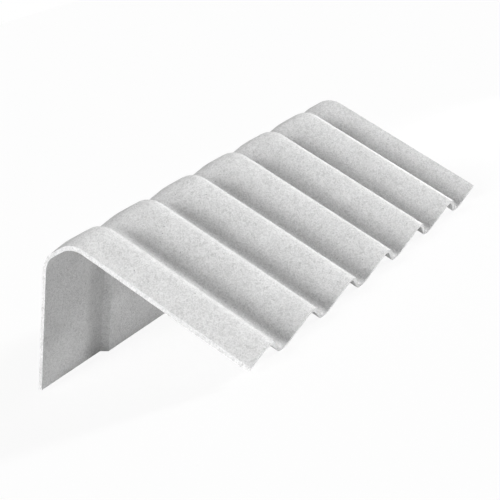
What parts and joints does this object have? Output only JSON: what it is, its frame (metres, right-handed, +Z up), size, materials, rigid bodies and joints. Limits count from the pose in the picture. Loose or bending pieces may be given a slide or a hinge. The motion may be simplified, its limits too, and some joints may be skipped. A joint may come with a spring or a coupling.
{
  "type": "corrugated fibre-cement ridge cap",
  "caption": "One-piece roof ridge cap: a corrugated wing and a plain wing meeting in a rounded crown, with a set-out side lap at one end.",
  "frame": {"origin": "on the floor, under the middle of the box around the standing cap", "axes": "+Z up, +Y along the ridge away from the side lap, +X towards the corrugated wing"},
  "size_m": [0.292, 0.5, 0.1596],
  "materials": {
    "fibre_cement": "matt, light grey, faintly mottled"
  },
  "bodies": {
    "root": {"ridge_cap": "fibre_cement"}
  },
  "joints": []
}
